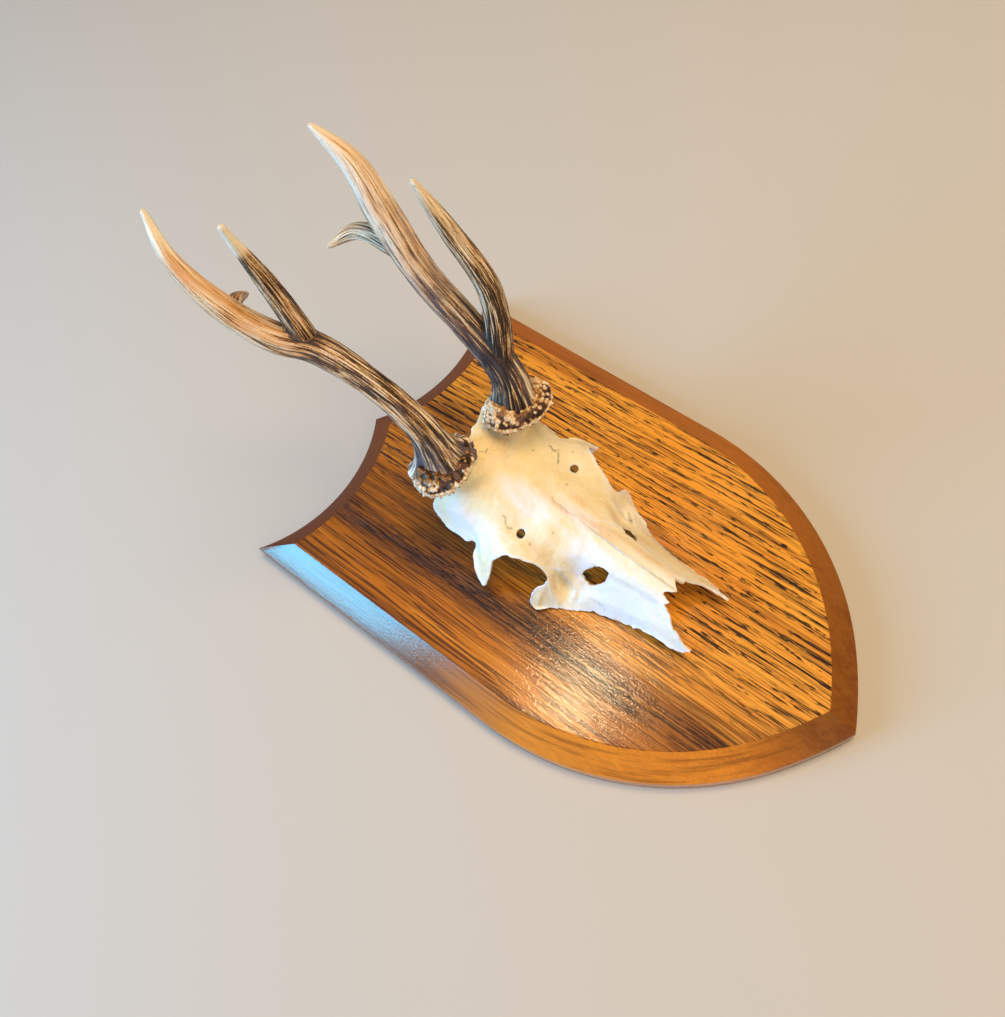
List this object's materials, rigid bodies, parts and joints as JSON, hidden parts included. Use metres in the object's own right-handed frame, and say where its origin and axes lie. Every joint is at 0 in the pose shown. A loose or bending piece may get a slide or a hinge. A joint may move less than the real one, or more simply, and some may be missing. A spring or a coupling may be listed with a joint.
{
  "type": "roe deer skull mount",
  "caption": "Roe deer buck skull cap with both antlers on a bevelled oak shield, lying on its back; a still display piece that can also hang on a wall.",
  "frame": {"origin": "centre line of the shield's back face, 156 mm below the line between its two top corners", "axes": "+Z out of the shield's face, +Y towards its top edge, +X to the animal's left"},
  "size_m": [0.203, 0.3251, 0.2232],
  "materials": {
    "oak": "stained and gloss varnished open-grained oak",
    "bone": "dry bleached bone, satin",
    "coronet": "beaded tan antler, matt",
    "antler": "grooved brown antler polished pale at the tips",
    "beech": "plain planed wood",
    "brass": "plain sheet",
    "steel": "bright zinc"
  },
  "bodies": {
    "root": {"shield": "oak", "hanging_plate": "brass", "plate_screw_1": "steel", "plate_screw_2": "steel", "block_screw_1": "steel", "block_screw_2": "steel", "skull_block": "beech", "skull_frontal": "bone", "skull_nasal_left": "bone", "skull_nasal_right": "bone", "skull_cheek_left": "bone", "skull_cheek_right": "bone", "coronet_left": "coronet", "coronet_right": "coronet", "antler_left_lower_beam": "antler", "antler_left_upper_beam": "antler", "antler_left_front_tine": "antler", "antler_left_rear_tine": "antler", "antler_right_lower_beam": "antler", "antler_right_upper_beam": "antler", "antler_right_front_tine": "antler", "antler_right_rear_tine": "antler"}
  },
  "joints": []
}
